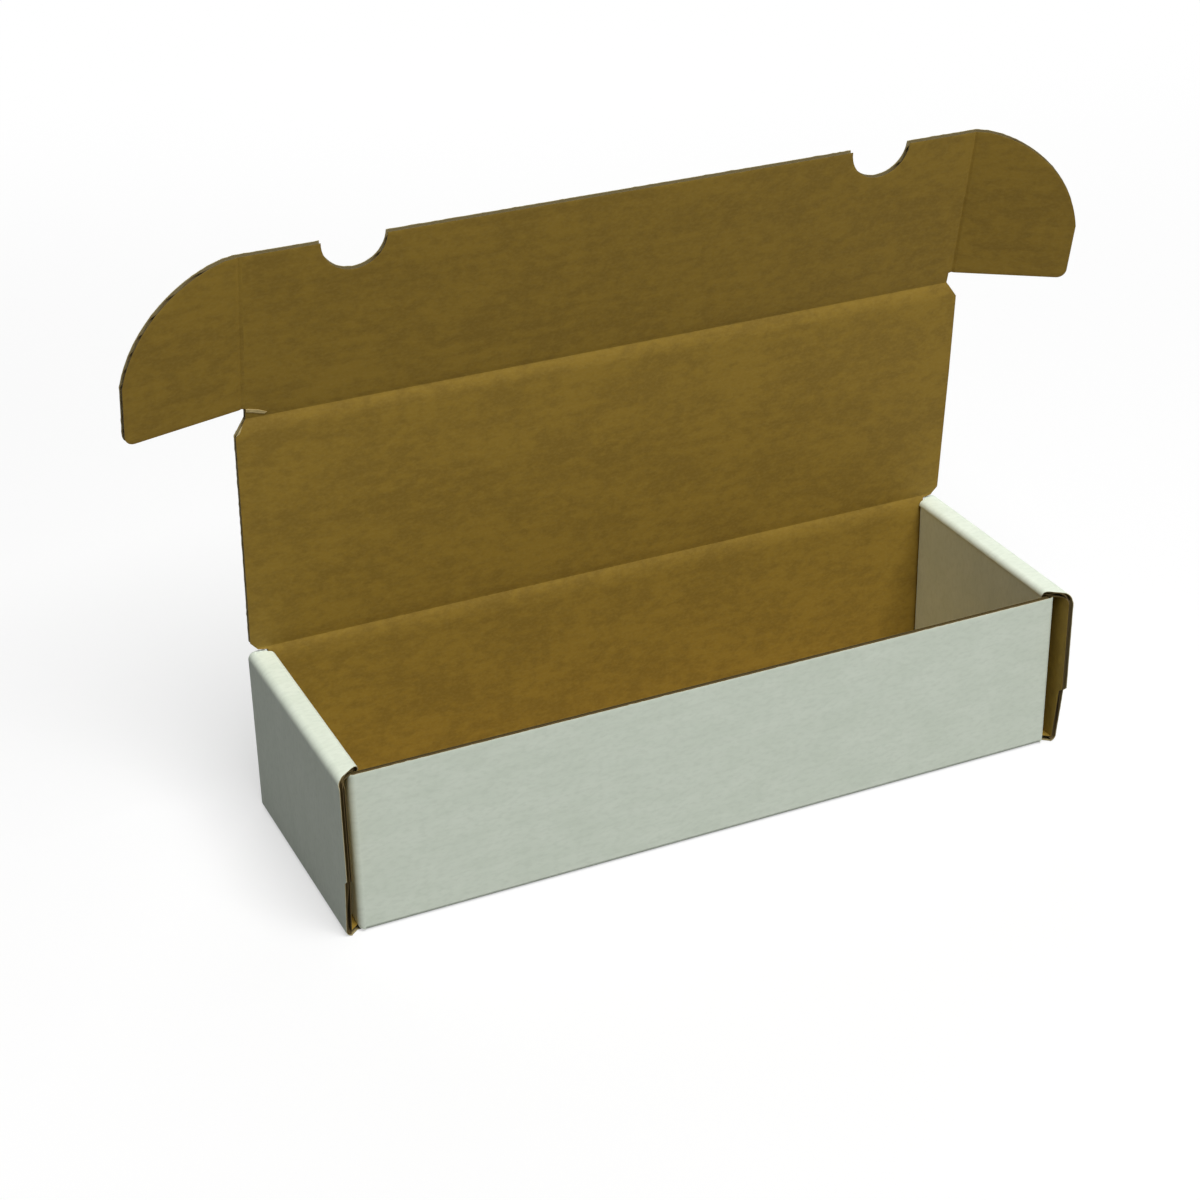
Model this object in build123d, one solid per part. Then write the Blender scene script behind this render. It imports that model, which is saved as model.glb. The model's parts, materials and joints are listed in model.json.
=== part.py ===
from build123d import *
import os
from math import cos, hypot, radians, sin, sqrt

# A card storage box, folded from one die-cut blank of single-wall corrugated board.
# A tray with rolled double end walls carries a lid. The lid's front flap hangs outside the
# front wall when the box is closed, and the two ears of the flap tuck into the end walls.
# Every panel between two creases is a solid of its own.
# Millimetres and degrees. The origin is the middle of the underside, +Z is up, +X is to the
# right along the length, and the front faces -Y. The lid stands open, as it does in use.

# Board
board = 2.4                 # thickness of the board
running_gap = 0.3           # between panels that turn against each other
edge_gap = 0.2              # between a cut edge and the panel that it ends against

# Tray
length = 319.0              # over the outer end panels
depth = 101.0               # over the front and back walls
rim_height = 72.4           # to the top of the rim webs, where the lid rests
wall_top_gap = 0.2          # from the raw top edges under the rim webs to the webs
ear_slot = 3.2              # room for an ear inside an end wall
rim_roll = 4.0              # outside radius of the fold from end panel to rim web

# Front edge of the outer end panels, which stands forward of the front wall
end_overhang = 5.2          # how far the upper part stands forward
end_foot_lean = 3.0         # how far the lower part leans forward at the step
end_step_height = 26.0      # from the table to the step
end_step_rise = 2.0         # height that the step itself takes

# Rim webs
web_front_setback = 3.3     # from the front wall's outer face to the web's inner front corner

# Corner flaps, which hold the front and back walls inside the end walls
corner_flap_reach = 43.0
corner_flap_taper = 4.0

# Inner end panels and their lock tabs
inner_front_setback = 0.9   # from the front wall's inner face to the panel's front edge
inner_back_setback = 0.8    # from the back wall's inner face to the panel's back edge
lock_tab_width = 18.0
lock_tab_offset = 23.0      # from the middle of the depth to a tab's middle

# Lid
lid_width = 317.0
lid_rest_gap = 0.4          # between the rim webs and the closed lid
lid_open_angle = 86.3       # from closed, as the lid stands at rest
lid_corner_cut_x = 3.5
lid_corner_cut_y = 5.0
lid_hinge_corner_cut = 3.0

# Front flap of the lid
flap_height = 70.5          # from its crease to its free edge
flap_face_gap = 0.8         # between the closed flap and the front wall
flap_fold_angle = 7.2       # from the plane of the lid, at rest
notch_radius = 13.0         # half-round finger notches
notch_offset = 111.0        # from the middle to a notch's centre

# Ears of the front flap
ear_reach = 48.2            # from the fold to the outer edge
ear_crease_gap = 4.7        # from the lid's crease to the ear's near edge
ear_side_height = 24.9      # straight part of the outer edge
ear_top_run = 5.2           # straight part beside the free edge
ear_arc_radius = 52.1
ear_corner_radius = 4.0
left_ear_fold_angle = 11.0  # from the plane of the flap, at rest
right_ear_fold_angle = 24.0

# Places that several panels share
front_outer = -depth / 2
front_inner = front_outer + board
back_outer = depth / 2
back_inner = back_outer - board
end_outer = length / 2
end_inner = end_outer - board
corner_outer = end_inner - ear_slot
corner_inner = corner_outer - board
tray_inner = corner_inner - board
web_under = rim_height - board
wall_top = web_under - wall_top_gap
end_front = front_outer - end_overhang

# Creases that turn
bead_radius = board / 2
crease_cut = bead_radius + running_gap
hinge_y = back_outer - board / 2
hinge_z = rim_height + lid_rest_gap + board / 2
lid_length = hinge_y - (front_outer - flap_face_gap - board / 2)
ear_fold_x = corner_outer + running_gap + board / 2

right = Vector(1, 0, 0)


def block(low, high):
    """A plain block between two corners."""
    size = [b - a for a, b in zip(low, high)]
    middle = [(a + b) / 2 for a, b in zip(low, high)]
    return Pos(*middle) * Box(*size)


def prism(points, plane, amount):
    """A closed outline pushed along its plane's normal, both ways."""
    return extrude(plane * make_face(Polyline(*points, close=True)), amount, both=True)


def upright_profile(height):
    """Section of a panel that is folded up from the base: outside at +X, rounded foot."""
    foot = ThreePointArc(
        (board, board), (board * sin(radians(45)), board * (1 - cos(radians(45)))), (0, 0))
    return make_face(foot + Polyline((0, 0), (0, height), (board, height), (board, board)))


def base_panel():
    plate = block((-end_inner, front_inner, 0), (end_inner, back_inner, board))
    for side in (-1, 1):
        for face in (-1, 1):
            root = corner_outer + edge_gap
            corner = [(side * root, face * back_inner), (side * end_inner, face * back_inner),
                      (side * end_inner, face * back_outer)]
            plate += prism(corner, Plane.XY.offset(board / 2), board / 2)
        for tab in (-1, 1):
            slot = Box(board + 2 * edge_gap, lock_tab_width + 2 * edge_gap, 4 * board)
            plate -= Pos(side * (tray_inner + board / 2), tab * lock_tab_offset, 0) * slot
    return plate


def long_wall(face, height):
    """The front wall (face -1) or the back wall (face 1)."""
    wall = extrude(Plane.YZ * upright_profile(height), corner_inner, both=True)
    return Pos(0, face * back_inner, 0) * (wall if face > 0 else mirror(wall, Plane.XZ))


def outer_end(side):
    profile = Plane.XZ * Pos(end_inner, 0) * upright_profile(rim_height - rim_roll)
    sheet = extrude(profile, depth, both=True)
    edge = [(front_outer, 0),
            (front_outer - end_foot_lean, end_step_height),
            (end_front, end_step_height + end_step_rise),
            (end_front, rim_height), (back_outer, rim_height), (back_outer, 0)]
    panel = sheet & prism(edge, Plane.YZ, length)
    return panel if side > 0 else mirror(panel, Plane.YZ)


def rim_web(side):
    """The narrow panel over an end wall, rolled down at both of its creases."""
    roll_x, roll_z = end_outer - rim_roll, rim_height - rim_roll
    inner_roll = rim_roll - board
    diagonal = sin(radians(45))
    fold_x = tray_inner + board

    def on_roll(radius):
        return (roll_x + radius * diagonal, roll_z + radius * diagonal)

    outline = (
        ThreePointArc((end_outer, roll_z), on_roll(rim_roll), (roll_x, rim_height))
        + Line((roll_x, rim_height), (fold_x, rim_height))
        + ThreePointArc((fold_x, rim_height),
                        (fold_x - board * diagonal, web_under + board * diagonal),
                        (tray_inner, web_under))
        + Line((tray_inner, web_under), (roll_x, web_under))
        + ThreePointArc((roll_x, web_under), on_roll(inner_roll), (end_inner, roll_z))
        + Line((end_inner, roll_z), (end_outer, roll_z)))
    strip = extrude(Plane.XZ * make_face(outline), depth, both=True)
    plan = [(tray_inner, front_outer + web_front_setback),
            (end_outer, end_front), (end_outer, back_outer),
            (corner_inner + board / 2, back_outer),
            (corner_inner + edge_gap, back_inner - edge_gap), (tray_inner, back_inner - edge_gap)]
    web = strip & prism(plan, Plane.XY, rim_height * 2)
    return web if side > 0 else mirror(web, Plane.YZ)


def inner_end(side):
    front = front_inner + inner_front_setback
    back = back_inner - inner_back_setback
    panel = block((tray_inner, front, board), (corner_inner, back, web_under))
    for tab in (-1, 1):
        middle = tab * lock_tab_offset
        panel += block((tray_inner, middle - lock_tab_width / 2, running_gap),
                       (corner_inner, middle + lock_tab_width / 2, board))
    return panel if side > 0 else mirror(panel, Plane.YZ)


def corner_flap(side, face):
    """A flap folded back from the end of the front wall (face -1) or back wall (face 1)."""
    low, high = board + running_gap, wall_top
    fold = ThreePointArc(
        (0, board), (board * sin(radians(45)), board * cos(radians(45))), (board, 0))
    section = make_face(
        fold + Polyline((board, 0), (board, -corner_flap_reach), (0, -corner_flap_reach),
                        (0, board)))
    sheet = extrude(section, high)
    edge = [(board, low), (board, high), (0, high), (-corner_flap_reach, high - corner_flap_taper),
            (-corner_flap_reach, low + corner_flap_taper), (0, low)]
    flap = Pos(corner_inner, back_inner, 0) * (sheet & prism(edge, Plane.YZ, length))
    if face < 0:
        flap = mirror(flap, Plane.XZ)
    return flap if side > 0 else mirror(flap, Plane.YZ)


def lid_frame():
    """Plane of the lid's middle: X along the hinge, Y towards the flap, Z on the inner side."""
    tilt = radians(lid_open_angle)
    return Plane(origin=(0, hinge_y, hinge_z), x_dir=right, z_dir=(0, -sin(tilt), -cos(tilt)))


def flap_frame():
    lid = lid_frame()
    tilt = radians(lid_open_angle - flap_fold_angle)
    return Plane(origin=lid.from_local_coords((0, lid_length, 0)), x_dir=right,
                 z_dir=(0, -sin(tilt), -cos(tilt)))


def ear_frame(side, fold_angle):
    flap = flap_frame()
    fold = radians(fold_angle)
    normal = flap.z_dir * cos(fold) - right * (side * sin(fold))
    along = right * cos(fold) + flap.z_dir * (side * sin(fold))
    return Plane(origin=flap.from_local_coords((side * ear_fold_x, 0, 0)), x_dir=along,
                 z_dir=normal)


def bead(width):
    """The rounded edge of a panel where it turns on its crease, along X."""
    return Rot(0, 90, 0) * Cylinder(bead_radius, width)


def lid_panel():
    half, crease = lid_width / 2, lid_length - crease_cut
    hinge_half = half - lid_hinge_corner_cut
    outline = [(-hinge_half, 0), (-half, lid_hinge_corner_cut),
               (-half, crease - lid_corner_cut_y), (-half + lid_corner_cut_x, crease),
               (half - lid_corner_cut_x, crease), (half, crease - lid_corner_cut_y),
               (half, lid_hinge_corner_cut), (hinge_half, 0)]
    return lid_frame() * (prism(outline, Plane.XY, board / 2) + bead(2 * hinge_half))


def lid_front_flap():
    half = ear_fold_x - crease_cut
    sheet = prism([(-half, 0), (half, 0), (half, flap_height), (-half, flap_height)],
                  Plane.XY, board / 2)
    sheet += bead(2 * half)
    for side in (-1, 1):
        sheet -= Pos(side * notch_offset, flap_height, 0) * Cylinder(notch_radius, 2 * board)
    return flap_frame() * sheet


def ear(side, fold_angle):
    foot, top = ear_crease_gap, flap_height
    arc_start = (ear_reach, foot + ear_side_height)
    arc_end = (ear_top_run, top)
    chord = hypot(arc_end[0] - arc_start[0], arc_end[1] - arc_start[1])
    rise = ear_arc_radius - sqrt(ear_arc_radius ** 2 - chord ** 2 / 4)
    outline = make_face(
        Polyline((0, foot), (ear_reach, foot), arc_start)
        + SagittaArc(arc_start, arc_end, -rise)
        + Polyline(arc_end, (0, top), (0, foot)))
    outer_corner = outline.vertices().sort_by(Axis.Y)[:2].sort_by(Axis.X)[-1]
    outline = fillet(outer_corner, ear_corner_radius)
    fold = Pos(0, (foot + top) / 2, 0) * Rot(90, 0, 0) * Cylinder(bead_radius, top - foot)
    sheet = extrude(outline, board / 2, both=True) + fold
    if side < 0:
        sheet = mirror(sheet, Plane.YZ)
    return ear_frame(side, fold_angle) * sheet


panels = {
    "base_panel": base_panel(),
    "front_wall": long_wall(-1, wall_top),
    "back_wall": long_wall(1, hinge_z - crease_cut),
    "lid_panel": lid_panel(),
    "lid_front_flap": lid_front_flap(),
    "left_ear": ear(-1, left_ear_fold_angle),
    "right_ear": ear(1, right_ear_fold_angle),
}
for side, side_name in ((-1, "left"), (1, "right")):
    panels[f"{side_name}_outer_end"] = outer_end(side)
    panels[f"{side_name}_rim_web"] = rim_web(side)
    panels[f"{side_name}_inner_end"] = inner_end(side)
    for face, face_name in ((-1, "front"), (1, "back")):
        panels[f"{face_name}_{side_name}_corner_flap"] = corner_flap(side, face)

os.makedirs("parts", exist_ok=True)
for name, solid in panels.items():
    export_step(solid, f"parts/{name}.step")

lid, flap = lid_frame(), flap_frame()
print("lid crease", tuple(round(v, 3) for v in lid.origin))
print("flap crease", tuple(round(v, 3) for v in flap.origin), "flap runs", tuple(flap.y_dir))
for side, angle in ((-1, left_ear_fold_angle), (1, right_ear_fold_angle)):
    frame = ear_frame(side, angle)
    print("ear crease", tuple(round(v, 3) for v in frame.origin))
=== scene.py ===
import json
from math import asin, atan2, cos, degrees, pi, radians, sin, sqrt

import bmesh
import bpy
from mathutils import Matrix, Vector, kdtree, noise


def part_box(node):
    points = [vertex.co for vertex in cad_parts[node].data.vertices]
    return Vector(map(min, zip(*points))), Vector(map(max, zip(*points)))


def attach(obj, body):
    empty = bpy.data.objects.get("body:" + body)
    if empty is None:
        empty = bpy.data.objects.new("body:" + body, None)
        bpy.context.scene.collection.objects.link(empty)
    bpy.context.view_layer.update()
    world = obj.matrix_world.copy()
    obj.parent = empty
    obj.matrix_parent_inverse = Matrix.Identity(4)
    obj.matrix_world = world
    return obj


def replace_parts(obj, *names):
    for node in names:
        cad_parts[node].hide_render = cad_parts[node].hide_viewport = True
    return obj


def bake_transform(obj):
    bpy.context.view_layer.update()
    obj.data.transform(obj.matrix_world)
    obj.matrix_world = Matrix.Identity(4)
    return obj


# Card storage box, folded from one blank of single-wall corrugated board. Every panel is made
# flat, as two paper liners with a fluted medium between them, and is then folded into place.
# A flat panel lies in U and V, in millimetres: the flutes run along U, and W goes through the
# board from the bleached outside at -half to the brown inside at +half.

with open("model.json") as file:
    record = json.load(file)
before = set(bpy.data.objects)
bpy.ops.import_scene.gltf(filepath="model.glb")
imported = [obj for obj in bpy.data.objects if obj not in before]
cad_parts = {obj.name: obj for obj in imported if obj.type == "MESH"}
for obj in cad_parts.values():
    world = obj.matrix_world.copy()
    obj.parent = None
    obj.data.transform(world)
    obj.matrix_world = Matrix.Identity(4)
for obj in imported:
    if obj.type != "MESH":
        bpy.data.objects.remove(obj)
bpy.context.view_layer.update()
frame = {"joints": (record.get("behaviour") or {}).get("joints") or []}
joints = {joint["name"]: joint for joint in frame["joints"]}

board = {
    "thickness": 2.4,
    "liner": 0.3,
    "medium": 0.25,
    "flutePitch": 6.2,
    "flutePoints": 10,        # rows of the medium in one flute
    "mediumSetback": 0.25,    # how far the cut medium lies inside the liners' edges
    "edgeCrush": 0.05,        # share of the thickness that the die took off the cut edges
    "edgeRings": (0.3, 0.4, 0.7),
    "cutStep": 1.6,           # spacing of the points on a cut edge
    "burr": 0.05,             # how far the white liner stands past the brown one
    "ragged": 0.28,           # how much further its torn fibres reach
    "tufts": 0.83,            # how many tufts they make in a millimetre, roughly
    "foldSteps": 12,
    "tightFold": 0.1,         # inner radius of a fold that is pressed flat
    "tightShare": 0.8,        # flat length of such a square fold, as a share of the thickness
    "mediumClear": 0.02,      # between the medium and the liners
    "footGap": 0.2,           # between a cut edge and the panel that it ends against
    "faceDepth": 0.00119,     # metres from the board's middle: a liner has its face's colour here
    "cutAndShadeDepth": 0.00112,      # and its cut edge's colour, partly painted shade, from here inwards
}
half = board["thickness"] / 2
tightWidth = board["thickness"] * board["tightShare"]
clear = 0.1                   # a cut edge lies at least so far from the seams
weld = 0.001                  # points this close are one
mm = 0.001                    # a millimetre, in the scene's metres


def spanOf(left, right):
    return lambda v: (left, right)


def lineAt(points, v):
    # U on a run of straight edges at a given V; the points go up in V
    for (u0, v0), (u1, v1) in zip(points, points[1:]):
        if v <= v1:
            return u0 + (u1 - u0) * max(0, v - v0) / (v1 - v0)
    return points[-1][0]


def drawOutline(bm, path):
    # corners, and arcs that spin the corner before them: (centre, degrees, steps)
    corners = []
    for item in path:
        if len(item) == 2:
            corners.append(bm.verts.new((*item, 0)))
            continue
        centre, turn, steps = item
        before = set(bm.verts)
        bmesh.ops.spin(bm, geom=corners[-1:], cent=(*centre, 0), axis=(0, 0, 1),
                       angle=radians(turn), steps=steps)
        corners += [vert for vert in bm.verts if vert not in before]
    bm.faces.new(corners)


def cutOpening(bm, low, high):
    for axis in (0, 1):
        for place in (low[axis], high[axis]):
            divide(bm, axis, [place])
    middles = {face: face.calc_center_median() for face in bm.faces}
    inside = [face for face, middle in middles.items()
              if low[0] < middle[0] < high[0] and low[1] < middle[1] < high[1]]
    bmesh.ops.delete(bm, geom=inside, context="FACES")


def moveOut(bm, geometry, side):
    # one liner, from the outer face to its thickness
    verts = [item for item in geometry if isinstance(item, bmesh.types.BMVert)]
    faces = [item for item in geometry if isinstance(item, bmesh.types.BMFace)]
    bmesh.ops.translate(bm, verts=verts, vec=(0, 0, side * half))
    for face in faces:
        face.material_index = 0 if side < 0 else 1
    made = bmesh.ops.extrude_face_region(bm, geom=faces, use_keep_orig=True)
    inner = [item for item in made["geom"] if isinstance(item, bmesh.types.BMVert)]
    bmesh.ops.translate(bm, verts=inner, vec=(0, 0, -side * board["liner"]))


def addMedium(bm, spans, low, high):
    # the fluted paper: a grid with its columns moved to the spans and its rows into a wave
    setback, pitch = board["mediumSetback"], board["flutePitch"]
    rows = round((high - low) / pitch * board["flutePoints"])
    columns = len(spans(low)) - 1
    bottom, top = low + setback, high - setback
    before = set(bm.faces)
    grid = bmesh.ops.create_grid(bm, x_segments=columns, y_segments=rows, size=0.5)
    height = half - board["liner"] - board["medium"] / 2 - board["mediumClear"]
    for vert in grid["verts"]:
        column = round((vert.co.x + 0.5) * columns)
        v = bottom + (vert.co.y + 0.5) * (top - bottom)
        vert.co = (spans(v)[column], v, height * sin(2 * pi * v / pitch))
    faces = [f for f in bm.faces if f not in before]
    gaps = []
    for index, f in enumerate(faces):
        f.material_index = 2
        middle = f.calc_center_median()
        edges = spans(middle.y)
        if any(edges[i] < middle.x < edges[i + 1] for i in range(1, columns, 2)):
            gaps.append(f)
    bmesh.ops.delete(bm, geom=gaps, context="FACES")
    faces = [f for f in faces if f.is_valid]
    verts = list({v for f in faces for v in f.verts})
    bmesh.ops.remove_doubles(bm, verts=verts, dist=weld)
    faces = [f for f in bm.faces if f.material_index == 2]
    bmesh.ops.recalc_face_normals(bm, faces=faces)
    bmesh.ops.solidify(bm, geom=faces, thickness=board["medium"])
    verts = [v for v in bm.verts if v.link_faces and v.link_faces[0].material_index == 2]
    middle = (max(v.co.z for v in verts) + min(v.co.z for v in verts)) / 2
    bmesh.ops.translate(bm, verts=verts, vec=(0, 0, -middle))


def middleOf(edge):
    return ((edge.verts[0].co + edge.verts[1].co) / 2).xy


def cutEdges(bm, isCut):
    # the edges that the die cut; the panel's others are seams
    return [edge for edge in bm.edges if edge.is_boundary and isCut(*middleOf(edge))]


def cutAcross(bm, place, normal):
    geometry = bm.verts[:] + bm.edges[:] + bm.faces[:]
    bmesh.ops.bisect_plane(bm, geom=geometry, dist=weld, plane_co=place, plane_no=normal)


def keepSeams(bm, isCut):
    # cuts just inside the ends of an edge that joins another panel, so that its crushed corners
    # leave the rest of it at full thickness
    reach, ends = sum(board["edgeRings"]), []
    for edge in bm.edges:
        if edge.is_boundary and not isCut(*middleOf(edge)):
            first, last = [vert.co.copy() for vert in edge.verts]
            along = (last - first).normalized()
            ends += [(first + along * reach, along), (last - along * reach, along)]
    for place, along in ends:
        cutAcross(bm, place, along)


def flatPanel(path, spans, low, high, isCut, openings=()):
    # both liners with rings inside their edges, and the medium; also gives the edges that were cut
    bm = bmesh.new()
    drawOutline(bm, path)
    for opening in openings:
        cutOpening(bm, *opening)
    for edge in cutEdges(bm, isCut):
        steps = int(edge.calc_length() / board["cutStep"])
        bmesh.ops.subdivide_edges(bm, edges=[edge], cuts=max(0, steps - 1))
    loops = [edge.link_loops[0] for edge in cutEdges(bm, isCut)]
    cuts = [(loop.vert.co.xy.copy(), loop.link_loop_next.vert.co.xy.copy()) for loop in loops]
    panel = bm.faces[:]
    for width in board["edgeRings"]:
        bmesh.ops.inset_region(bm, faces=panel, thickness=width, use_boundary=True,
                               use_even_offset=True)
    keepSeams(bm, isCut)
    outside = bm.verts[:] + bm.edges[:] + bm.faces[:]
    inside = bmesh.ops.duplicate(bm, geom=outside)["geom"]
    moveOut(bm, outside, -1)
    moveOut(bm, inside, 1)
    addMedium(bm, spans, low, high)
    return bm, cuts


def divide(bm, axis, places):
    # cuts across the whole panel, so that it can be rolled or pressed there
    normal = Vector((0, 0, 0))
    normal[axis] = 1
    for place in places:
        cutAcross(bm, normal * place, normal)


def dieCut(bm, cuts):
    # the die squashes the board along its cut edges, and leaves the white liner's edge ragged;
    # a cut runs with the panel on its left
    reach = sum(board["edgeRings"])
    tree = kdtree.KDTree(len(cuts))
    for number, (start, end) in enumerate(cuts):
        tree.insert((*((start + end) / 2), 0), number)
    tree.balance()
    for vert in bm.verts:
        flat = vert.co.xy.copy()
        nearest, outward = reach, None
        for spot, number, away in tree.find_range((*flat, 0), reach + board["cutStep"]):
            start, end = cuts[number]
            along = end - start
            share = min(1, max(0, (flat - start).dot(along) / along.length_squared))
            distance = (flat - start - along * share).length
            if distance < nearest:
                nearest, outward = distance, Vector((along.y, -along.x, 0)).normalized()
        if outward and nearest < 0.01 and vert.co.z < 0:
            fibres = max(0, noise.noise(Vector((*flat, 0)) * board["tufts"]))
            vert.co += outward * (board["burr"] + board["ragged"] * fibres)
        vert.co.z *= 1 - board["edgeCrush"] * (1 - nearest / reach) ** 2


def crease(bm, axis, place, depth, below, above):
    # a scored line: the inside liner sinks on both sides of it
    for vert in bm.verts:
        away = vert.co[axis] - place
        reach = below if away < 0 else above
        if abs(away) < reach:
            share = (1 - abs(away) / reach) ** 2
            vert.co.z = -half + (vert.co.z + half) * (1 - share * depth / board["thickness"])


def hingedCrease(bm, place=0):
    # the lid's long creases: the board also leans out as it nears one, and comes back slowly
    # beyond it
    crease(bm, 1, place, lid["creaseDepth"], lid["creaseBelow"], lid["creaseAbove"])
    for vert in bm.verts:
        v = vert.co.y - place
        if v < 0:
            share = max(0, 1 + v / lid["creaseBelow"]) ** 2
        else:
            share = max(0, 1 - v / lid["bowAbove"])
        vert.co.z -= lid["bowDepth"] * share


def fold(bm, axis, place, width, turn, radius, direction):
    # rolls the panel towards its inside round a bar; direction says which side of the place moves
    centre = half + radius
    for vert in bm.verts:
        along = (vert.co[axis] - place) * direction
        if along > 0:
            angle = min(along / width, 1) * radians(turn)
            beyond = max(along - width, 0)
            drop = centre - vert.co.z
            vert.co[axis] = place + direction * (sin(angle) * drop + cos(angle) * beyond)
            vert.co.z = centre - cos(angle) * drop + sin(angle) * beyond


def bend(bm, axis, place, reach, turn):
    # turns the panel about its middle, spread as the joints spread it when they move
    for vert in bm.verts:
        along = vert.co[axis] - place
        share = min(1, max(0, (along + reach) / (2 * reach)))
        angle = share * share * (3 - 2 * share) * radians(turn)
        depth = vert.co.z
        vert.co[axis] = place + along * cos(angle) - depth * sin(angle)
        vert.co.z = depth * cos(angle) + along * sin(angle)


def keepSheet(bm, shift=(0, 0)):
    # each point remembers its place on the flat blank, in metres, for the paper's patterns
    layer = bm.verts.layers.float_vector.new("sheet")
    for vert in bm.verts:
        vert[layer] = (vert.co + Vector((*shift, 0))) * mm


def placeOf(origin, along, across):
    # from a flat panel to the box: its origin, its U and its V
    inward = Vector(along).cross(Vector(across))
    turn = Matrix((along, across, inward)).transposed().to_4x4()
    return Matrix.Translation(Vector(origin)) @ turn


def finishPanel(bm, name, place, mirror=(1, 1)):
    bmesh.ops.remove_doubles(bm, verts=bm.verts, dist=2 * weld)
    bmesh.ops.transform(bm, matrix=place, verts=bm.verts)
    bmesh.ops.scale(bm, vec=(mm * mirror[0], mm * mirror[1], mm), verts=bm.verts)
    bmesh.ops.recalc_face_normals(bm, faces=bm.faces)
    mesh = bpy.data.meshes.new(name)
    bm.to_mesh(mesh)
    bm.free()
    panel = bpy.data.objects.new(name, mesh)
    bpy.context.scene.collection.objects.link(panel)
    for paper in (bleachedLiner, kraftLiner, flutingMedium):
        mesh.materials.append(paper)
    return panel


def linear(colour):
    # sRGB hex to Blender's linear colour
    values = [int(colour[i:i + 2], 16) / 255 for i in (1, 3, 5)]
    return [v / 12.92 if v <= 0.04045 else ((v + 0.055) / 1.055) ** 2.4 for v in values] + [1]


def node(material, kind, settings=None, links=None, **properties):
    # adds one node; settings are its sockets' values and links the outputs that feed it
    made = material.node_tree.nodes.new(kind)
    for name, value in properties.items():
        setattr(made, name, value)
    for name, value in (settings or {}).items():
        made.inputs[name].default_value = value
    for name, output in (links or {}).items():
        material.node_tree.links.new(output, made.inputs[name])
    return made


def newMaterial(name):
    material = bpy.data.materials.new(name)
    material.use_nodes = True
    material.node_tree.nodes.clear()
    return material


def patternAt(paper, along, across):
    # the sheet's own coordinates, stretched so that one unit of a pattern is so many millimetres
    sheet = node(paper, "ShaderNodeAttribute", attribute_name="sheet")
    mapped = node(paper, "ShaderNodeMapping", {"Scale": (1000 / along, 1000 / across, 100)},
                  {"Vector": sheet.outputs["Vector"]})
    return mapped.outputs[0]


def washboardOf(paper):
    # a wave across the flutes, with their pitch: Blender's bands repeat every 2 pi / 20 units;
    # along the flutes it only wavers over 400 mm
    pitch = board["flutePitch"] * 20 / (2 * pi)
    wave = node(paper, "ShaderNodeTexWave",
                {"Scale": 1.0, "Distortion": 0.6, "Detail": 1.0, "Detail Scale": 0.6},
                {"Vector": patternAt(paper, 400.0, pitch)}, wave_type="BANDS", bands_direction="Y")
    return wave.outputs["Fac"]


def cutAndShadeShare(paper, side):
    # 0 on the sheet's face and 1 on its cut edges and the liner's inner face, from its depth in
    # the
    # board, in metres: there the cut colour goes on, partly painted shade of the flutes' hollows
    place = node(paper, "ShaderNodeAttribute", attribute_name="sheet")
    depth = node(paper, "ShaderNodeSeparateXYZ", links={0: place.outputs["Vector"]})
    face, inside = side * board["faceDepth"], side * board["cutAndShadeDepth"]
    share = node(paper, "ShaderNodeMapRange", {"From Min": face, "From Max": inside},
                 {"Value": depth.outputs["Z"]})
    return share.outputs[0]


def finishPaper(paper, colour, height, relief, roughness):
    # relief is the height of the surface's pattern, in millimetres; uncoated paper has a typical
    # IOR of 1.5 and a weak gloss
    bump = node(paper, "ShaderNodeBump", {"Strength": 0.6, "Distance": relief * mm},
                {"Height": height})
    shader = node(paper, "ShaderNodeBsdfPrincipled",
                  {"Roughness": roughness, "IOR": 1.5, "Specular IOR Level": 0.35},
                  {"Base Color": colour, "Normal": bump.outputs[0]})
    node(paper, "ShaderNodeOutputMaterial", links={"Surface": shader.outputs[0]})
    return paper


# Bleached kraft liner: a thin white facing on brown paper, calendered but uncoated. It is matt
# and a little green, faintly mottled, and the flutes show through it as a soft washboard. Where
# it is cut, the brown under the facing shows as a buff line, darkened further as painted shade
# of the cut edge's hollows.
bleached = {
    "colour": "#EAF3E3",
    "shade": "#E3EDDC",
    "speckColour": "#D6E0CF",
    # the cut edge's colour: partly the brown under the facing, partly painted shade
    "cutAndShadeColour": "#A8986A",
    "mottle": (18.0, 9.0),    # millimetres, along and across the machine direction
    "fibre": (3.2, 1.6),      # fibres are 3 mm long but 0.03 wide: these are drawn as wide bundles
    "fibreShare": 0.5,        # how strongly they tint the facing
    "relief": 0.35,           # height of the fibres, as a share of the washboard
    "washboard": 0.03,
    "roughness": 0.62,
}


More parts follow.
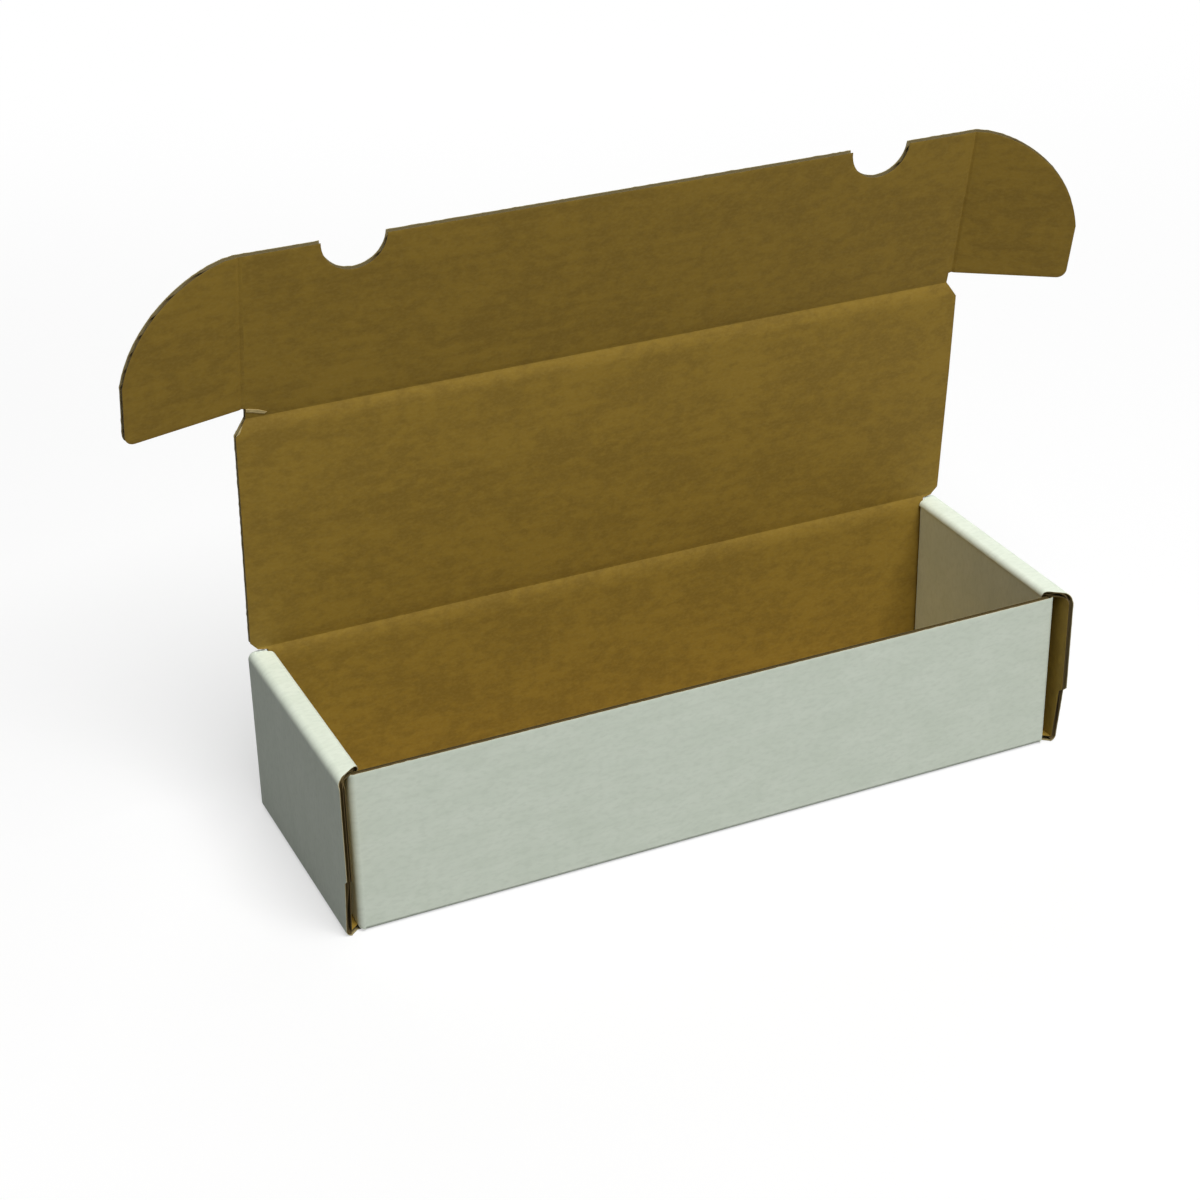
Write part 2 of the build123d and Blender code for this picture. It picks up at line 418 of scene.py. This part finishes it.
def makeBleached():
    paper = newMaterial("bleached_kraft_liner")
    mottle = node(paper, "ShaderNodeTexNoise", {"Scale": 1.0, "Detail": 3.0, "Roughness": 0.6},
                  {"Vector": patternAt(paper, *bleached["mottle"])})
    clouds = node(paper, "ShaderNodeMapRange", {"From Min": 0.35, "From Max": 0.7},
                  {"Value": mottle.outputs[0]})
    facing = node(paper, "ShaderNodeMix",
                  {6: linear(bleached["colour"]), 7: linear(bleached["shade"])},
                  {0: clouds.outputs[0]}, data_type="RGBA")
    fibres = node(paper, "ShaderNodeTexNoise", {"Scale": 1.0, "Detail": 4.0},
                  {"Vector": patternAt(paper, *bleached["fibre"])})
    specks = node(paper, "ShaderNodeMapRange",
                  {"From Min": 0.45, "From Max": 0.75, "To Max": bleached["fibreShare"]},
                  {"Value": fibres.outputs[0]})
    surface = node(paper, "ShaderNodeMix", {7: linear(bleached["speckColour"])},
                   {0: specks.outputs[0], 6: facing.outputs[2]}, data_type="RGBA")
    # the cut edges and the liner's inner face take the cut colour, partly painted shade
    colour = node(paper, "ShaderNodeMix", {7: linear(bleached["cutAndShadeColour"])},
                  {0: cutAndShadeShare(paper, -1), 6: surface.outputs[2]}, data_type="RGBA")
    height = node(paper, "ShaderNodeMath", {1: bleached["relief"]},
                  {0: fibres.outputs[0], 2: washboardOf(paper)}, operation="MULTIPLY_ADD")
    return finishPaper(paper, colour.outputs[2], height.outputs[0], bleached["washboard"],
                       bleached["roughness"])


# Test liner: brown recycled kraft. It is matt, with soft clouds, blotches and small light flecks
# of fibre, a little longer along the machine direction, and the flutes show through it faintly.
kraft = {
    "colour": "#967929",
    "shade": "#876C24",
    "fleckColour": "#A68C43",
    # the cut edge's colour: partly the kraft's own, mostly painted shade of the flutes' hollows
    "cutAndShadeColour": "#4F4323",
    "cloud": (34.0, 20.0),    # millimetres, along and across the machine direction
    "blotch": (6.0, 4.0),
    "blotchShare": 1.2,       # how much the blotches weigh beside the clouds
    "fleck": (1.7, 1.1),      # single fibres are too fine to show, so these are small bundles
    "fleckShare": 0.22,       # how strongly they tint the paper
    "relief": 0.2,            # height of the flecks, as a share of the washboard
    "washboard": 0.04,
    "roughness": 0.72,
}


def makeKraft():
    paper = newMaterial("brown_kraft_liner")
    clouds = node(paper, "ShaderNodeTexNoise", {"Scale": 1.0, "Detail": 4.0, "Roughness": 0.6},
                  {"Vector": patternAt(paper, *kraft["cloud"])})
    blotches = node(paper, "ShaderNodeTexNoise", {"Scale": 1.0, "Detail": 5.0, "Roughness": 0.65},
                    {"Vector": patternAt(paper, *kraft["blotch"])})
    flecks = node(paper, "ShaderNodeTexNoise", {"Scale": 1.0, "Detail": 2.0},
                  {"Vector": patternAt(paper, *kraft["fleck"])})
    tone = node(paper, "ShaderNodeMath", {1: kraft["blotchShare"]},
                {0: blotches.outputs[0], 2: clouds.outputs[0]}, operation="MULTIPLY_ADD")
    dark = node(paper, "ShaderNodeMapRange", {"From Min": 0.95, "From Max": 1.25},
                {"Value": tone.outputs[0]})
    brown = node(paper, "ShaderNodeMix", {6: linear(kraft["colour"]), 7: linear(kraft["shade"])},
                 {0: dark.outputs[0]}, data_type="RGBA")
    light = node(paper, "ShaderNodeMapRange",
                 {"From Min": 0.42, "From Max": 0.72, "To Max": kraft["fleckShare"]},
                 {"Value": flecks.outputs[0]})
    surface = node(paper, "ShaderNodeMix", {7: linear(kraft["fleckColour"])},
                   {0: light.outputs[0], 6: brown.outputs[2]}, data_type="RGBA")
    # the cut edges and the liner's inner face take the dark cut colour, partly painted shade
    colour = node(paper, "ShaderNodeMix", {7: linear(kraft["cutAndShadeColour"])},
                  {0: cutAndShadeShare(paper, 1), 6: surface.outputs[2]}, data_type="RGBA")
    height = node(paper, "ShaderNodeMath", {1: kraft["relief"]},
                  {0: flecks.outputs[0], 2: washboardOf(paper)}, operation="MULTIPLY_ADD")
    return finishPaper(paper, colour.outputs[2], height.outputs[0], kraft["washboard"],
                       kraft["roughness"])


# Fluting: thin, unbleached semi-chemical paper between the liners, rougher and greyer than they
# are. Its dark olive is partly its own colour and partly painted shade of the hollows at the cut
# edges.
fluting = {
    # dark olive, partly painted shade of the cut edges' hollows
    "colour": "#6B5A33",
    "shade": "#4C3E22",
    "grain": (3.6, 1.2),      # millimetres, along and across the flutes
    "relief": 0.05,
    "roughness": 0.85,
}


def makeFluting():
    paper = newMaterial("fluting_medium")
    grain = node(paper, "ShaderNodeTexNoise", {"Scale": 1.0, "Detail": 4.0},
                 {"Vector": patternAt(paper, *fluting["grain"])})
    colour = node(paper, "ShaderNodeMix",
                  {6: linear(fluting["colour"]), 7: linear(fluting["shade"])},
                  {0: grain.outputs[0]}, data_type="RGBA")
    return finishPaper(paper, colour.outputs[2], grain.outputs[0], fluting["relief"],
                       fluting["roughness"])


bleachedLiner, kraftLiner, flutingMedium = makeBleached(), makeKraft(), makeFluting()
print("papers made")


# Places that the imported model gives, in millimetres
def cornersOf(name):
    low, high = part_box(name)
    return low * 1000, high * 1000


wallLow, wallHigh = cornersOf("front_wall")
baseLow, baseHigh = cornersOf("base_panel")
endLow, endHigh = cornersOf("right_outer_end")
webLow, webHigh = cornersOf("right_rim_web")
innerLow, innerHigh = cornersOf("right_inner_end")
wallHalf = wallHigh.x                        # half the length of the front and back walls
footHeight = baseHigh.z                      # the base's upper face, where the walls' feet end
wallMiddle = wallLow.y + half                # middle of the front wall's board
tightSteps = [tightWidth * (step + 1) / board["foldSteps"] for step in range(board["foldSteps"])]
footSteps = [footHeight - step for step in tightSteps]

hinge = Vector(joints["lid_hinge"]["pos_m"]) * 1000
flapCrease = Vector(joints["flap_hinge"]["pos_m"]) * 1000
earCrease = Vector(joints["right_ear_hinge"]["pos_m"]) * 1000
lidUp = (flapCrease - hinge).normalized()
flapUp = Vector(joints["left_ear_hinge"]["axis"]).normalized()
lidLength = (flapCrease - hinge).length

tray = {
    "stepHeight": 26.0,       # on the end panels' front edges
    "stepRise": 2.0,
    "footLean": 3.0,
    "webInset": 3.3,          # of the web's inner front corner from the front wall's face
    "webReach": 4.8,          # flat part of the web between its two rolls
    "webNotch": 1.0,          # slant of the web's cut beside the back wall
    "rollRadius": 0.8,        # inside the roll from end panel to web
    "tabWidth": 18.0,
    "tabOffset": 23.0,
    "slotGap": 0.2,
    "slotRim": 0.4,           # from the slots to the medium beside them
    "stripJoin": 1.0,         # from the walls' ends to where the medium's strips meet elsewhere
    "innerGap": 0.5,          # more room between the inner end and the back wall, where it shows
    "flapFoot": 0.7,          # where a corner flap's fold ends, above the table
    "flapClear": 0.3,         # between the base and the free part of a corner flap
    "flapReach": 43.0,
    "flapTaper": 4.0,
}


def makeBase():
    root = wallHalf + board["thickness"] + board["footGap"]
    end, inner, outer = baseHigh.x, -wallLow.y - board["thickness"], -wallLow.y
    path = [(-root, -inner), (root, -inner), (end, -outer), (end, outer),
            (root, inner), (-root, inner), (-end, outer), (-end, -outer)]
    slotLow, slotHigh = innerLow.x - tray["slotGap"], innerHigh.x + tray["slotGap"]
    reach = tray["tabWidth"] / 2 + tray["slotGap"]
    openings = []
    for side in (-1, 1):
        for tab in (-1, 1):
            left, right = sorted((side * slotLow, side * slotHigh))
            middle = tab * tray["tabOffset"]
            openings.append(((left, middle - reach), (right, middle + reach)))

    def spans(v):
        inSlot = abs(abs(v) - tray["tabOffset"]) < reach + board["mediumSetback"]
        left = right = wallHalf - tray["stripJoin"]
        if inSlot:
            left, right = slotLow - tray["slotRim"], slotHigh + tray["slotRim"]
        return (-end, -right, -left, left, right, end)

    def isCut(u, v):
        # the slots' edges; every edge of the outline is a crease
        return abs(v) < inner - clear and abs(u) < end - clear

    bm, cuts = flatPanel(path, spans, -inner, inner, isCut, openings)
    keepSheet(bm)
    dieCut(bm, cuts)
    panel = finishPanel(bm, "base", placeOf((0, 0, half), (1, 0, 0), (0, 1, 0)))
    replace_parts(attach(panel, "tray"), "base_panel")


def makeFrontWall():
    low, high = footHeight - tightWidth, wallHigh.z
    path = [(-wallHalf, low), (wallHalf, low), (wallHalf, high), (-wallHalf, high)]
    bm, cuts = flatPanel(path, spanOf(-wallHalf, wallHalf), low, high,
                         lambda u, v: v > high - clear)
    divide(bm, 1, footSteps)
    keepSheet(bm, (0, 300))
    dieCut(bm, cuts)
    fold(bm, 1, footHeight, tightWidth, 90, board["tightFold"], -1)
    panel = finishPanel(bm, "frontWall", placeOf((0, wallMiddle, 0), (-1, 0, 0), (0, 0, 1)))
    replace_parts(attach(panel, "tray"), "front_wall")


def makeBackWall():
    low, high = footHeight - tightWidth, hinge.z - lid["hingeSeam"]
    path = [(-wallHalf, low), (wallHalf, low), (wallHalf, high), (-wallHalf, high)]
    bm, cuts = flatPanel(path, spanOf(-wallHalf, wallHalf), low, high, lambda u, v: False)
    divide(bm, 1, footSteps + [hinge.z + step for step in creaseSteps])
    keepSheet(bm)
    hingedCrease(bm, hinge.z)
    fold(bm, 1, footHeight, tightWidth, 90, board["tightFold"], -1)
    panel = finishPanel(bm, "backWall", placeOf((0, -wallMiddle, 0), (1, 0, 0), (0, 0, 1)))
    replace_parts(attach(panel, "tray"), "back_wall")


def makeCornerFlap(side, face, name):
    # trapped inside the end wall; only its fold shows, beside the front wall
    low, high, start = footHeight + tray["flapClear"], wallHigh.z, -wallHalf
    end, taper = start - tightWidth - tray["flapReach"], tray["flapTaper"]
    path = [(start, tray["flapFoot"]), (start, high), (start - tightWidth, high),
            (end, high - taper), (end, low + taper), (start - tightWidth, low)]
    spans = spanOf(end + board["mediumSetback"], start)
    bm, cuts = flatPanel(path, spans, low, high, lambda u, v: u < start - clear)
    divide(bm, 0, [start - step for step in tightSteps])
    keepSheet(bm, (0, 300))
    dieCut(bm, cuts)
    fold(bm, 0, start, tightWidth, 90, board["tightFold"], -1)
    place = placeOf((0, wallMiddle, 0), (-1, 0, 0), (0, 0, 1))
    panel = finishPanel(bm, name, place, (side, -face))
    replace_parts(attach(panel, "tray"), name)


def makeOuterEnd(side, name):
    foot, top = footHeight - tightWidth, endHigh.z
    front, back = endLow.y, endHigh.y
    wallFace = wallLow.y
    stepLow, stepHigh = tray["stepHeight"], tray["stepHeight"] + tray["stepRise"]
    edge = [(stepHigh, front), (stepLow, wallFace - tray["footLean"]), (foot, wallFace)]
    path = [(foot, wallFace), edge[1], edge[0], (top, front), (top, back), (foot, back)]

    def spans(v):
        return (lineAt(edge, v) + (board["mediumSetback"] if v < wallFace else 0), top)

    bm, cuts = flatPanel(path, spans, front, back, lambda u, v: foot + clear < u < top - clear)
    divide(bm, 0, footSteps)
    keepSheet(bm, (0, 600))
    dieCut(bm, cuts)
    fold(bm, 0, footHeight, tightWidth, 90, board["tightFold"], -1)
    place = placeOf((endHigh.x - half, 0, 0), (0, 0, 1), (0, 1, 0))
    panel = finishPanel(bm, name, place, (side, 1))
    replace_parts(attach(panel, "tray"), name)


def makeRimWeb(side, name):
    # rolled softly down to the end panel, and pressed tight to the inner one
    start, steps = endHigh.z, board["foldSteps"]
    rollWidth = (tray["rollRadius"] + half) * pi / 2
    rollStart = webHigh.z - board["thickness"] - tray["rollRadius"]
    flatStart = rollStart + rollWidth
    flatEnd = flatStart + tray["webReach"]
    end = flatEnd + tightWidth
    frontInner = wallLow.y + tray["webInset"]
    backInner = -wallLow.y - board["thickness"] - board["footGap"]
    notch = flatEnd - half
    path = [(start, endLow.y), (end, frontInner), (end, backInner),
            (notch + tray["webNotch"], backInner), (notch, endHigh.y), (start, endHigh.y)]

    def spans(v):
        reach = lineAt([(start, endLow.y), (end, frontInner)], v) if v < frontInner else end
        return (start, notch if v > backInner else reach)

    bm, cuts = flatPanel(path, spans, endLow.y, endHigh.y,
                         lambda u, v: start + clear < u < end - clear)
    divide(bm, 0, [rollStart + rollWidth * step / steps for step in range(steps + 1)])
    divide(bm, 0, [flatEnd + tightWidth * step / steps for step in range(steps)])
    keepSheet(bm, (0, 600))
    dieCut(bm, cuts)
    fold(bm, 0, flatEnd, tightWidth, 90, board["tightFold"], 1)
    fold(bm, 0, rollStart, rollWidth, 90, tray["rollRadius"], 1)
    place = placeOf((endHigh.x - half, 0, 0), (0, 0, 1), (0, 1, 0))
    panel = finishPanel(bm, name, place, (side, 1))
    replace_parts(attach(panel, "tray"), name)


def makeInnerEnd(side, name):
    height = innerHigh.z - footHeight
    tabEnd = innerHigh.z - innerLow.z
    front, back, reach = innerLow.y, innerHigh.y - tray["innerGap"], tray["tabWidth"] / 2
    path = [(0, back), (0, front), (height, front)]
    for middle in (-tray["tabOffset"], tray["tabOffset"]):
        path += [(height, middle - reach), (tabEnd, middle - reach)]
        path += [(tabEnd, middle + reach), (height, middle + reach)]
    path.append((height, back))

    def spans(v):
        inTab = abs(abs(v) - tray["tabOffset"]) < reach - board["mediumSetback"]
        return (0, (tabEnd if inTab else height) - board["mediumSetback"])

    bm, cuts = flatPanel(path, spans, front, back, lambda u, v: u > clear)
    keepSheet(bm, (100, 600))
    dieCut(bm, cuts)
    place = placeOf((innerLow.x + half, 0, innerHigh.z), (0, 0, -1), (0, 1, 0))
    panel = finishPanel(bm, name, place, (side, 1))
    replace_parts(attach(panel, "tray"), name)


lid = {
    "halfWidth": 158.5,
    "hingeCorner": 3.0,
    "cornerDrop": 0.5,        # how far the corners beside the hinge reach below it
    "cornerRise": 0.6,        # slant of their lower edges
    "lap": 0.45,              # how far the medium runs past a seam
    "hingeSeam": 4.0,         # below the hinge, where the lid's board joins the back wall's
    "flapSeam": 9.0,          # before the flap's crease, where the flap's board joins it
    "cornerCutX": 3.5,
    "cornerCutY": 5.0,
    "creaseClear": 1.5,       # from the crease's middle to where the corner cut ends
    "creaseDepth": 0.2,       # how far the inside liner sinks at a hinged crease
    "creaseBelow": 8.0,       # how far that reaches below it
    "creaseAbove": 5.0,
    "creaseRows": (8, 4),     # of points, below and above
    "bowDepth": 0.9,          # how far the board stands out at a hinged crease
    "bowAbove": 60.0,         # where it is back in its own plane
    "bendReach": 2.0,         # how far each side of a crease the board bends
}
rowsBelow, rowsAbove = lid["creaseRows"]
creaseSteps = [-lid["creaseBelow"] * (1 - step / rowsBelow) for step in range(rowsBelow + 1)]
creaseSteps += [lid["creaseAbove"] * step / rowsAbove for step in range(1, rowsAbove + 1)]
creaseSteps.append(lid["bowAbove"])


def bendSteps(middle, reach):
    return [middle + reach * step / 6 for step in range(-6, 7)]


def makeLid():
    wide, seam = lid["halfWidth"], lid["hingeSeam"]
    corner, top = lid["hingeCorner"], lidLength - lid["flapSeam"]
    drop = lid["cornerDrop"]
    right = [(wallHalf, -seam), (wallHalf, -drop - lid["cornerRise"]), (wide - corner, -drop),
             (wide, corner), (wide, top)]
    path = right + [(-u, v) for u, v in reversed(right)]

    def spans(v):
        reach = wallHalf if v < -drop else min(wide, wide - corner + v + drop)
        reach -= board["mediumSetback"]
        return (-reach, reach)

    bm, cuts = flatPanel(path, spans, -seam - lid["lap"], top + lid["lap"],
                         lambda u, v: clear - seam < v < top - clear)
    divide(bm, 1, bendSteps(0, lid["bendReach"]) + creaseSteps)
    keepSheet(bm, (0, hinge.z))
    dieCut(bm, cuts)
    hingedCrease(bm)
    bend(bm, 1, 0, lid["bendReach"], 90 - degrees(atan2(lidUp.z, -lidUp.y)))
    panel = finishPanel(bm, "lid", placeOf(hinge, (1, 0, 0), (0, 0, 1)))
    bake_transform(panel)
    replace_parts(panel, "lid_panel")


flapTurn = degrees(atan2(lidUp.z, -lidUp.y) - atan2(flapUp.z, -flapUp.y))
flap = {
    "halfWidth": 153.9,       # beside the ears' roots
    "height": 70.5,
    "earGap": 4.7,            # from the lid's crease to the ears' lower edges
    "notchRadius": 13.0,
    "notchOffset": 111.0,
    "notchSteps": 24,
}


def makeFlap():
    seam, wide = -lid["flapSeam"], lid["halfWidth"]
    side = flap["halfWidth"]
    radius, offset, top = flap["notchRadius"], flap["notchOffset"], flap["height"]
    cut = -lid["creaseClear"]
    right = [(wide, seam), (wide, cut - lid["cornerCutY"]), (wide - lid["cornerCutX"], cut),
             (side, 0), (side, flap["earGap"]), (side, top)]
    path = list(right)
    for middle in (offset, -offset):
        path += [(middle + radius, top), ((middle, top), -180, flap["notchSteps"])]
    path += [(-u, v) for u, v in reversed(right)]

    def spans(v):
        if v < cut:
            share = (v - cut + lid["cornerCutY"]) / lid["cornerCutY"]
            reach = min(wide, wide - lid["cornerCutX"] * share)
        else:
            # beside the ears the medium runs on to the seam
            reach = side + (board["mediumSetback"] if v > flap["earGap"] else 0)
        reach -= board["mediumSetback"]
        gap = sqrt(max(0, (radius + board["mediumSetback"]) ** 2 - (top - v) ** 2))
        return (-reach, -offset - gap, -offset + gap, offset - gap, offset + gap, reach)

    def isCut(u, v):
        atEar = flap["earGap"] < v < top - clear and abs(u) > side - clear
        return v > seam + clear and not atEar

    bm, cuts = flatPanel(path, spans, seam - lid["lap"], top, isCut)
    divide(bm, 1, bendSteps(0, lid["bendReach"]) + creaseSteps)
    keepSheet(bm, (0, hinge.z + lidLength))
    dieCut(bm, cuts)
    hingedCrease(bm)
    bend(bm, 1, 0, lid["bendReach"], flapTurn)
    panel = finishPanel(bm, "frontFlap", placeOf(flapCrease, (1, 0, 0), lidUp))
    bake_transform(panel)
    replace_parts(panel, "lid_front_flap")


# Torn kraft: long bleached fibres that stand out where the liner tore, cream, dull and rough;
# their pale cream is also a painted highlight where the crushed score catches light.
tornAndHighlit = {
    "colour": "#DCC88E",
    "shade": "#B8A067",
    "fibre": (1.6, 0.3),
    "roughness": 0.9,
    "lift": 0.22,             # how far a torn sliver stands off the board
    "uneven": 0.7,            # how much that varies, as a share of it
    "wrinkles": 1.3,          # how many dips there are in a millimetre, roughly
    "sink": 0.02,             # how deep its underside lies in the liner
    "relief": 0.08,
    "slit": [(-153.6, 3.2), (-150.5, 2.2), (-146.4, 1.1), (-145.5, 1.7), (-148.5, 3.2),
             (-151.8, 4.2), (-153.7, 4.6)],
    "corner": [(-158.3, -6.0), (-157.0, -5.4), (-155.7, -2.9), (-155.5, -2.3), (-156.6, -3.6),
               (-157.6, -5.1)],
}


def makeTornAndHighlitPaper():
    paper = newMaterial("torn_fibres_and_painted_highlight")
    fibres = node(paper, "ShaderNodeTexNoise", {"Scale": 1.0, "Detail": 3.0},
                  {"Vector": patternAt(paper, *tornAndHighlit["fibre"])})
    # cream torn fibres, which also paint the highlight of the crushed score
    colour = node(paper, "ShaderNodeMix", {6: linear(tornAndHighlit["colour"]), 7: linear(tornAndHighlit["shade"])},
                  {0: fibres.outputs[0]}, data_type="RGBA")
    return finishPaper(paper, colour.outputs[2], fibres.outputs[0], tornAndHighlit["relief"],
                       tornAndHighlit["roughness"])


def makeTornSliver(name, path, paper):
    # lies on the flap's board beside its left root, and bends with it
    bm = bmesh.new()
    drawOutline(bm, path)
    bmesh.ops.triangulate(bm, faces=bm.faces)
    bmesh.ops.subdivide_edges(bm, edges=bm.edges, cuts=3, use_grid_fill=True)
    bmesh.ops.translate(bm, verts=bm.verts, vec=(0, 0, half - tornAndHighlit["sink"]))
    made = bmesh.ops.extrude_face_region(bm, geom=bm.faces[:], use_keep_orig=True)
    for vert in [item for item in made["geom"] if isinstance(item, bmesh.types.BMVert)]:
        uneven = tornAndHighlit["uneven"] * noise.noise(vert.co * tornAndHighlit["wrinkles"])
        vert.co.z += tornAndHighlit["lift"] * (1 + uneven)
    keepSheet(bm)
    hingedCrease(bm)
    bend(bm, 1, 0, lid["bendReach"], flapTurn)
    sliver = finishPanel(bm, name, placeOf(flapCrease, (1, 0, 0), lidUp))
    sliver.data.materials.clear()
    sliver.data.materials.append(paper)
    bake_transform(sliver)


ear = {
    "reach": 48.2,            # from its crease
    "sideHeight": 24.9,
    "topRun": 5.2,
    "arcRadius": 52.1,
    "arcSteps": 40,
    "cornerRadius": 4.0,
    "cornerSteps": 6,
    "creaseDepth": 0.3,
    "creaseReach": 1.5,
    "bendReach": 1.5,
    "foldLeft": 11.0,         # how far each stands out of the flap's plane at rest
    "foldRight": 24.0,
}


def makeEar(side, name, turn):
    start, low, top = flap["halfWidth"], flap["earGap"], flap["height"]
    crossing, corner, radius = earCrease.x, ear["cornerRadius"], ear["arcRadius"]
    outer, arcEnd = crossing + ear["reach"], crossing + ear["topRun"]
    arcStart = low + ear["sideHeight"]
    chord = Vector((arcEnd - outer, top - arcStart))
    across = Vector((-chord.y, chord.x)).normalized()
    rise = sqrt(radius ** 2 - chord.length_squared / 4)
    centre = Vector((outer, arcStart)) + chord / 2 + across * rise
    sweep = degrees(2 * asin(chord.length / 2 / radius))
    path = [(start, low), (outer - corner, low),
            ((outer - corner, low + corner), 90, ear["cornerSteps"]), (outer, arcStart),
            (tuple(centre), sweep, ear["arcSteps"]), (start, top)]

    def spans(v):
        reach = outer - board["mediumSetback"]
        if v > arcStart:
            reach = centre.x + sqrt((radius - board["mediumSetback"]) ** 2 - (v - centre.y) ** 2)
        elif v < low + corner:
            reach -= corner - sqrt(corner ** 2 - (low + corner - v) ** 2)
        return (start, reach)

    bm, cuts = flatPanel(path, spans, low, top, lambda u, v: u > start + clear)
    divide(bm, 0, bendSteps(crossing, ear["bendReach"]))
    divide(bm, 1, creaseSteps)
    keepSheet(bm, (0, hinge.z + lidLength))
    dieCut(bm, cuts)
    crease(bm, 0, crossing, ear["creaseDepth"], ear["creaseReach"], ear["creaseReach"])
    hingedCrease(bm)
    bend(bm, 0, crossing, ear["bendReach"], turn)
    if side < 0:
        bmesh.ops.scale(bm, vec=(-1, 1, 1), verts=bm.verts)
    panel = finishPanel(bm, name, placeOf(flapCrease, (1, 0, 0), flapUp))
    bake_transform(panel)
    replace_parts(panel, name)


makeBase()
makeFrontWall()
makeBackWall()
for side, sideName in ((-1, "left"), (1, "right")):
    makeOuterEnd(side, f"{sideName}_outer_end")
    makeRimWeb(side, f"{sideName}_rim_web")
    makeInnerEnd(side, f"{sideName}_inner_end")
    for face, faceName in ((-1, "front"), (1, "back")):
        makeCornerFlap(side, face, f"{faceName}_{sideName}_corner_flap")
print("tray folded")

makeLid()
makeFlap()
tornAndHighlitPaper = makeTornAndHighlitPaper()
# pale slivers at the slit and the lid's corner: torn fibres and a painted highlight
makeTornSliver("slitSliver", tornAndHighlit["slit"], tornAndHighlitPaper)
makeTornSliver("cornerSliver", tornAndHighlit["corner"], tornAndHighlitPaper)
makeEar(-1, "left_ear", ear["foldLeft"])
makeEar(1, "right_ear", ear["foldRight"])
print("lid, flap and ears folded")

studio = {
    "floorDrop": 0.0002,          # keeps the floor clear of the underside
    "floorSize": 6.0,
    "aim": (0, 0, 0.1),           # what both lamps point at
    "floorColour": "#FFFFFF",     # what the camera sees
    "floorBounce": "#707070",     # what lights the box from below
    "floorGlow": (0.55, 1.0),     # share of plain white in it, near the box and far from it
    "floorReach": (0.45, 1.2),    # where the first ends and where the second starts
    "ambient": 0.07,
    "keyEnergy": 126.0,
    "keySize": 2.2,
    "keyPlace": (0.24, -1.6, 3.0),
    "fillEnergy": 11.0,
    "fillSize": 1.2,
    "fillPlace": (0.5, 1.6, 0.4),
    "lens": 75.0,                 # millimetres, on a square frame of this width:
    "frameWidth": 36.0,
    "cameraPlace": (-0.3908, -0.7954, 0.5565),
    "cameraTurn": (61.831, 0.980, -25.015),
}


def makeFloor():
    bm = bmesh.new()
    bmesh.ops.create_grid(bm, x_segments=1, y_segments=1, size=studio["floorSize"])
    bmesh.ops.translate(bm, verts=bm.verts, vec=(0, 0, -studio["floorDrop"]))
    mesh = bpy.data.meshes.new("floor")
    bm.to_mesh(mesh)
    bm.free()
    floor = bpy.data.objects.new("floor", mesh)
    bpy.context.scene.collection.objects.link(floor)
    paper = newMaterial("pale_paper_roll")
    seen = seenBy(paper)
    bounce = node(paper, "ShaderNodeBsdfDiffuse", {"Color": linear(studio["floorBounce"])})
    lit = node(paper, "ShaderNodeBsdfDiffuse", {"Color": linear(studio["floorColour"])})
    glow = node(paper, "ShaderNodeEmission", {"Color": (1, 1, 1, 1), "Strength": 1.0})
    place = node(paper, "ShaderNodeTexCoord")
    away = node(paper, "ShaderNodeVectorMath", links={0: place.outputs["Object"]},
                operation="LENGTH")
    (near, far), (dim, full) = studio["floorReach"], studio["floorGlow"]
    share = node(paper, "ShaderNodeMapRange",
                 {"From Min": near, "From Max": far, "To Min": dim, "To Max": full},
                 {"Value": away.outputs["Value"]}, interpolation_type="SMOOTHSTEP")
    pale = node(paper, "ShaderNodeMixShader",
                links={0: share.outputs[0], 1: lit.outputs[0], 2: glow.outputs[0]})
    mix = node(paper, "ShaderNodeMixShader",
               links={0: seen, 1: bounce.outputs[0], 2: pale.outputs[0]})
    node(paper, "ShaderNodeOutputMaterial", links={"Surface": mix.outputs[0]})
    mesh.materials.append(paper)


def seenBy(owner):
    # 1 for what the camera sees, itself or in a reflection or through glass
    path = node(owner, "ShaderNodeLightPath").outputs
    either = node(owner, "ShaderNodeMath",
                  links={0: path["Is Camera Ray"], 1: path["Is Glossy Ray"]}, operation="MAXIMUM")
    seen = node(owner, "ShaderNodeMath",
                links={0: either.outputs[0], 1: path["Is Transmission Ray"]}, operation="MAXIMUM")
    return seen.outputs[0]


def makeLamp(name, energy, size, place):
    lamp = bpy.data.objects.new(name, bpy.data.lights.new(name, "AREA"))
    lamp.data.energy = energy
    lamp.data.size = size
    lamp.location = place
    aim = Vector(studio["aim"]) - lamp.location
    lamp.rotation_euler = aim.to_track_quat("-Z", "Y").to_euler()
    bpy.context.scene.collection.objects.link(lamp)


def makeStage():
    makeFloor()
    world = bpy.data.worlds.new("studio")
    bpy.context.scene.world = world
    world.use_nodes = True
    world.node_tree.nodes.clear()
    soft = node(world, "ShaderNodeBackground",
                {"Color": (1, 1, 1, 1), "Strength": studio["ambient"]})
    white = node(world, "ShaderNodeBackground", {"Color": (1, 1, 1, 1), "Strength": 1.0})
    mix = node(world, "ShaderNodeMixShader",
               links={0: seenBy(world), 1: soft.outputs[0], 2: white.outputs[0]})
    node(world, "ShaderNodeOutputWorld", links={"Surface": mix.outputs[0]})
    makeLamp("key", studio["keyEnergy"], studio["keySize"], studio["keyPlace"])
    makeLamp("fill", studio["fillEnergy"], studio["fillSize"], studio["fillPlace"])

    camera = bpy.data.objects.new("camera", bpy.data.cameras.new("camera"))
    camera.data.lens = studio["lens"]
    camera.data.sensor_width = studio["frameWidth"]
    camera.location = studio["cameraPlace"]
    camera.rotation_euler = [radians(turn) for turn in studio["cameraTurn"]]
    bpy.context.scene.collection.objects.link(camera)
    bpy.context.scene.camera = camera
    bpy.context.scene.view_settings.view_transform = "Standard"


makeStage()
print("stage set")
